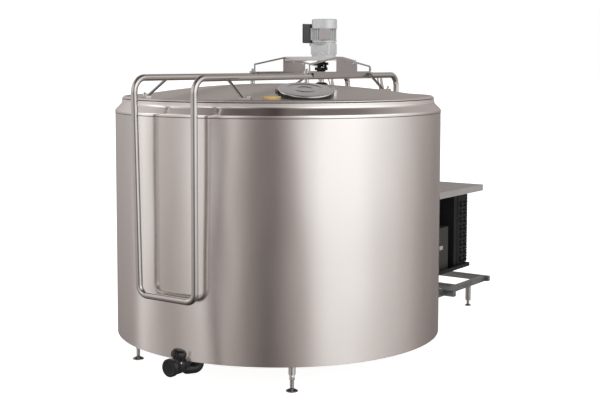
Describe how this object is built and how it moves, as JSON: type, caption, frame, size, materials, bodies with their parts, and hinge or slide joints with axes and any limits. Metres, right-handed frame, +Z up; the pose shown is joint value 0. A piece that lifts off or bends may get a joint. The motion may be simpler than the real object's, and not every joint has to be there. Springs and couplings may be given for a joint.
{
  "type": "milk cooling tank",
  "caption": "Upright round insulated milk cooling tank: domed lid and agitator drive on a tilting tube frame with a hanging handle, low outlet valve, condensing unit behind",
  "frame": {"origin": "on the floor, under the middle of the whole machine's box", "axes": "+Z up, -Y towards the lift handle and outlet valve, +Y towards the condensing unit"},
  "size_m": [1.903, 3.158, 1.992],
  "materials": {
    "brushed_stainless": "brushed",
    "polished_tube": "satin",
    "sheet_stainless": "mill",
    "machined_steel": "machined",
    "frame_steel": "galvanised",
    "insulating_foam": "foam",
    "black_plastic": "gloss",
    "charcoal_plastic": "matte",
    "motor_paint": "satin",
    "black_paint": "satin",
    "grey_plastic": "matte",
    "tan_plastic": "satin",
    "black_rubber": "matte",
    "core_aluminium": "mill",
    "bare_plate": "satin",
    "copper_pipe": "drawn"
  },
  "bodies": {
    "tank": {"outer_wall": "brushed_stainless", "shoulder_ring": "brushed_stainless", "inner_vessel": "brushed_stainless", "evaporator_plate": "sheet_stainless", "insulation": "insulating_foam", "bottom_plate": "sheet_stainless", "leg_sockets": "machined_steel", "levelling_feet": "machined_steel", "wall_brackets": "sheet_stainless", "hinge_pins": "machined_steel", "outlet_elbow": "black_plastic", "valve_body": "black_plastic", "unit_frame": "frame_steel", "unit_feet": "frame_steel", "base_tray": "black_paint", "condenser_core": "core_aluminium", "core_end_plates": "black_paint", "return_bends": "black_paint", "fan_shroud": "black_paint", "fan_motor": "black_paint", "top_cover": "frame_steel", "control_box": "grey_plastic", "compressor": "black_paint", "compressor_mounts": "black_rubber", "receiver": "black_paint", "refrigerant_pipes": "copper_pipe"},
    "lid": {"lid_dome": "brushed_stainless", "lid_edge_ring": "brushed_stainless", "lid_gasket": "black_rubber", "lid_necks": "brushed_stainless", "lift_frame": "polished_tube", "rim_struts": "polished_tube", "strut_feet": "machined_steel", "rear_links": "polished_tube", "suspension_rods": "polished_tube", "bridge_cheek_right": "sheet_stainless", "bridge_cheek_left": "sheet_stainless", "motor_plate": "sheet_stainless", "adapter_flange": "machined_steel", "gear_housing": "motor_paint", "motor_housing": "motor_paint", "fan_cover": "motor_paint", "nameplate": "bare_plate", "terminal_box": "charcoal_plastic", "cable_gland": "machined_steel", "shaft_boot": "black_rubber", "manway_gasket": "black_rubber", "cover_hinge_base": "sheet_stainless"},
    "agitator": {"shaft_coupling": "black_rubber", "agitator_shaft": "machined_steel", "agitator_paddle": "machined_steel"},
    "motor_shaft": {"motor_rotor": "machined_steel"},
    "inspection_cover": {"manway_cover": "brushed_stainless", "cover_hinge_leaf": "sheet_stainless", "cover_grip": "charcoal_plastic"},
    "inlet_plug": {"inlet_plug": "tan_plastic"},
    "valve_handle": {"valve_disc": "machined_steel", "valve_knob": "black_plastic"},
    "outlet_cap": {"outlet_cap": "black_plastic"},
    "condenser_fan": {"condenser_fan": "charcoal_plastic"}
  },
  "joints": [
    {"name": "lid_tilt", "type": "hinge", "parent": "tank", "child": "lid", "pos_m": [0, 0.541, 1.372], "axis": [-1, 0, 0], "range_deg": [0, 60]},
    {"name": "agitator_spin", "type": "hinge", "parent": "lid", "child": "agitator", "pos_m": [0, -0.061, 1.5], "axis": [0, 0, 1], "continuous": true},
    {"name": "motor_spin", "type": "hinge", "parent": "lid", "child": "motor_shaft", "pos_m": [0, -0.027, 1.9], "axis": [0, 0, 1], "continuous": true},
    {"name": "inspection_cover_hinge", "type": "hinge", "parent": "lid", "child": "inspection_cover", "pos_m": [0.63031, -0.88019, 1.57824], "axis": [-0.7154, 0.6555, 0.2419], "range_deg": [0, 110]},
    {"name": "inlet_plug_lift", "type": "slide", "parent": "lid", "child": "inlet_plug", "axis": [0, 0, 1], "range_m": [0, 0.06]},
    {"name": "valve_turn", "type": "hinge", "parent": "tank", "child": "valve_handle", "pos_m": [0.07, -1.521, 0.141], "axis": [0.2756, 0, 0.9613], "range_deg": [0, 90]},
    {"name": "outlet_cap_pull", "type": "slide", "parent": "tank", "child": "outlet_cap", "axis": [0, -1, 0], "range_m": [0, 0.08]},
    {"name": "condenser_fan_spin", "type": "hinge", "parent": "tank", "child": "condenser_fan", "pos_m": [0, 1.088, 0.56], "axis": [0, 1, 0], "continuous": true}
  ],
  "couplings": [
    {"joint": "motor_spin", "follows": "agitator_spin", "ratio": 46.7}
  ]
}
